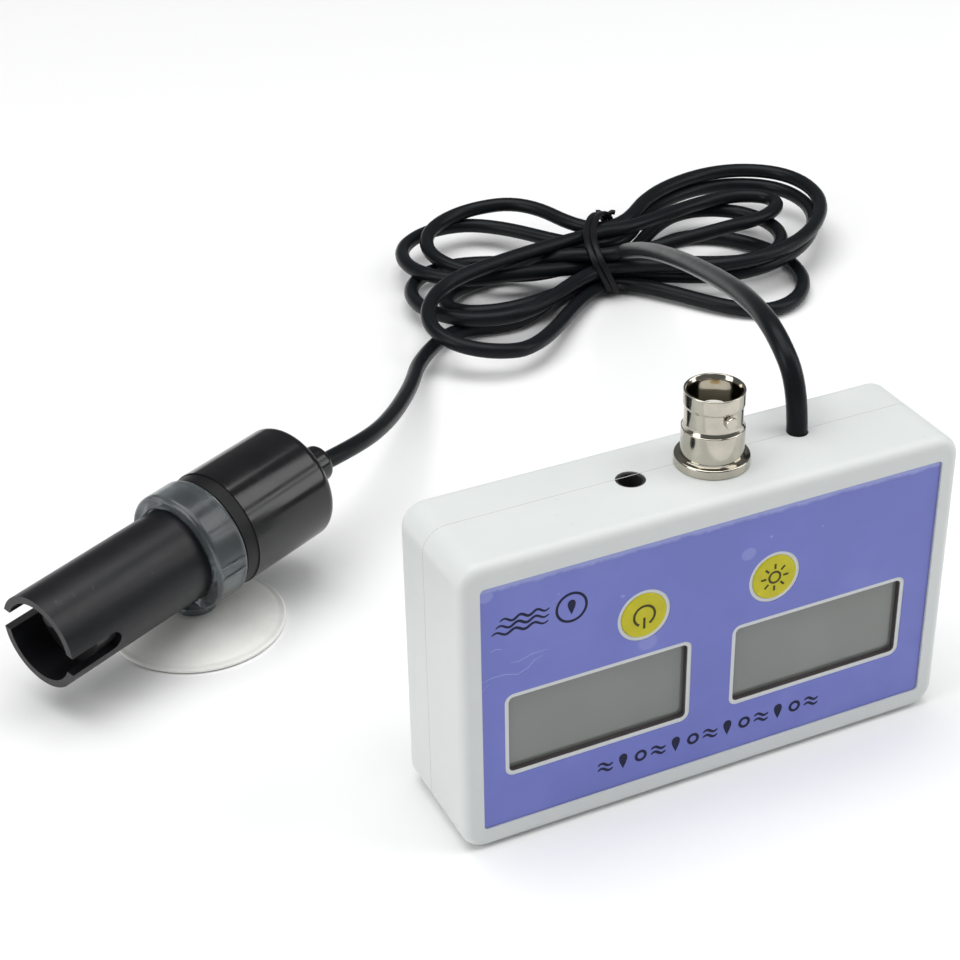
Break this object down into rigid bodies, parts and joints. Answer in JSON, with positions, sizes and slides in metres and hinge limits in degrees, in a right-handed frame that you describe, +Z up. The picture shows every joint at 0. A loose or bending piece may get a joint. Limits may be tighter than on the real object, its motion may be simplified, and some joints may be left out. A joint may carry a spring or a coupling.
{
  "type": "digital water monitor",
  "caption": "Digital pH and salinity monitor box with displays, push buttons, a bayonet probe socket and a wired probe in a suction-cup holder.",
  "frame": {"origin": "middle of the case's standing face, on the surface it stands on", "axes": "+Z up towards the connectors, +X along the case, -Y is the side with the displays"},
  "size_m": [0.2286, 0.2025, 0.0687],
  "materials": {
    "case_plastic": "satin white ABS with a fine moulded grain",
    "label_film": "printed polycarbonate film, glossy",
    "button_plastic": "glossy yellow",
    "display_glass": "grey-green display polariser",
    "backlight_acrylic": "white light guide",
    "contact_rubber": "conductive rubber strip",
    "board_laminate": "green solder mask",
    "chip_plastic": "black epoxy",
    "screw_steel": "zinc plated steel",
    "nickel": "bright nickel plate",
    "insulator_plastic": "white fluoropolymer",
    "contact_brass": "gold flashed brass",
    "probe_plastic": "matte black ABS",
    "housing_plastic": "black, semi-gloss",
    "graphite": "ground graphite",
    "clear_vinyl": "clear soft vinyl",
    "milky_vinyl": "milky translucent soft vinyl",
    "cable_vinyl": "black cable jacket"
  },
  "bodies": {
    "monitor": {"front_shell": "case_plastic", "back_shell": "case_plastic", "case_screws": "screw_steel", "label_overlay": "label_film", "left_lcd_glass": "display_glass", "right_lcd_glass": "display_glass", "left_backlight": "backlight_acrylic", "right_backlight": "backlight_acrylic", "lcd_contact_strips": "contact_rubber", "main_board": "board_laminate", "board_screws": "screw_steel", "circuit_chips": "chip_plastic", "tactile_switches": "chip_plastic", "power_inlet": "chip_plastic", "power_inlet_pin": "nickel", "bayonet_socket": "nickel", "socket_insulator": "insulator_plastic", "socket_contact": "contact_brass", "socket_washer": "screw_steel", "socket_nut": "nickel", "cable_clamp": "chip_plastic", "board_connector": "insulator_plastic", "cable_inner_end": "cable_vinyl", "probe_tube": "probe_plastic", "sensor_body": "probe_plastic", "electrodes": "graphite", "temperature_pin": "screw_steel", "seal_collar": "cable_vinyl", "rear_housing": "housing_plastic", "strain_relief": "cable_vinyl", "cable_case_lead": "cable_vinyl", "cable_probe_lead": "cable_vinyl", "cable_hank": "cable_vinyl", "hank_tie": "cable_vinyl"},
    "on_off_button": {"on_off_button": "button_plastic"},
    "light_button": {"light_button": "button_plastic"},
    "holder_ring": {"holder_ring": "clear_vinyl"},
    "suction_cup": {"suction_cup": "milky_vinyl"}
  },
  "joints": [
    {"name": "on_off_button_press", "type": "slide", "parent": "monitor", "child": "on_off_button", "axis": [0, 1, 0], "range_m": [0, 0.0003], "stiffness_N_per_m": 800},
    {"name": "light_button_press", "type": "slide", "parent": "monitor", "child": "light_button", "axis": [0, 1, 0], "range_m": [0, 0.0003], "stiffness_N_per_m": 800},
    {"name": "holder_ring_turn", "type": "hinge", "parent": "monitor", "child": "holder_ring", "pos_m": [-0.0612, 0.0686, 0.0164], "axis": [0.9056, 0.4223, 0.0401], "continuous": true},
    {"name": "suction_cup_swivel", "type": "hinge", "parent": "holder_ring", "child": "suction_cup", "pos_m": [-0.0612, 0.0686, 0.005], "axis": [0, 0, 1], "continuous": true}
  ]
}
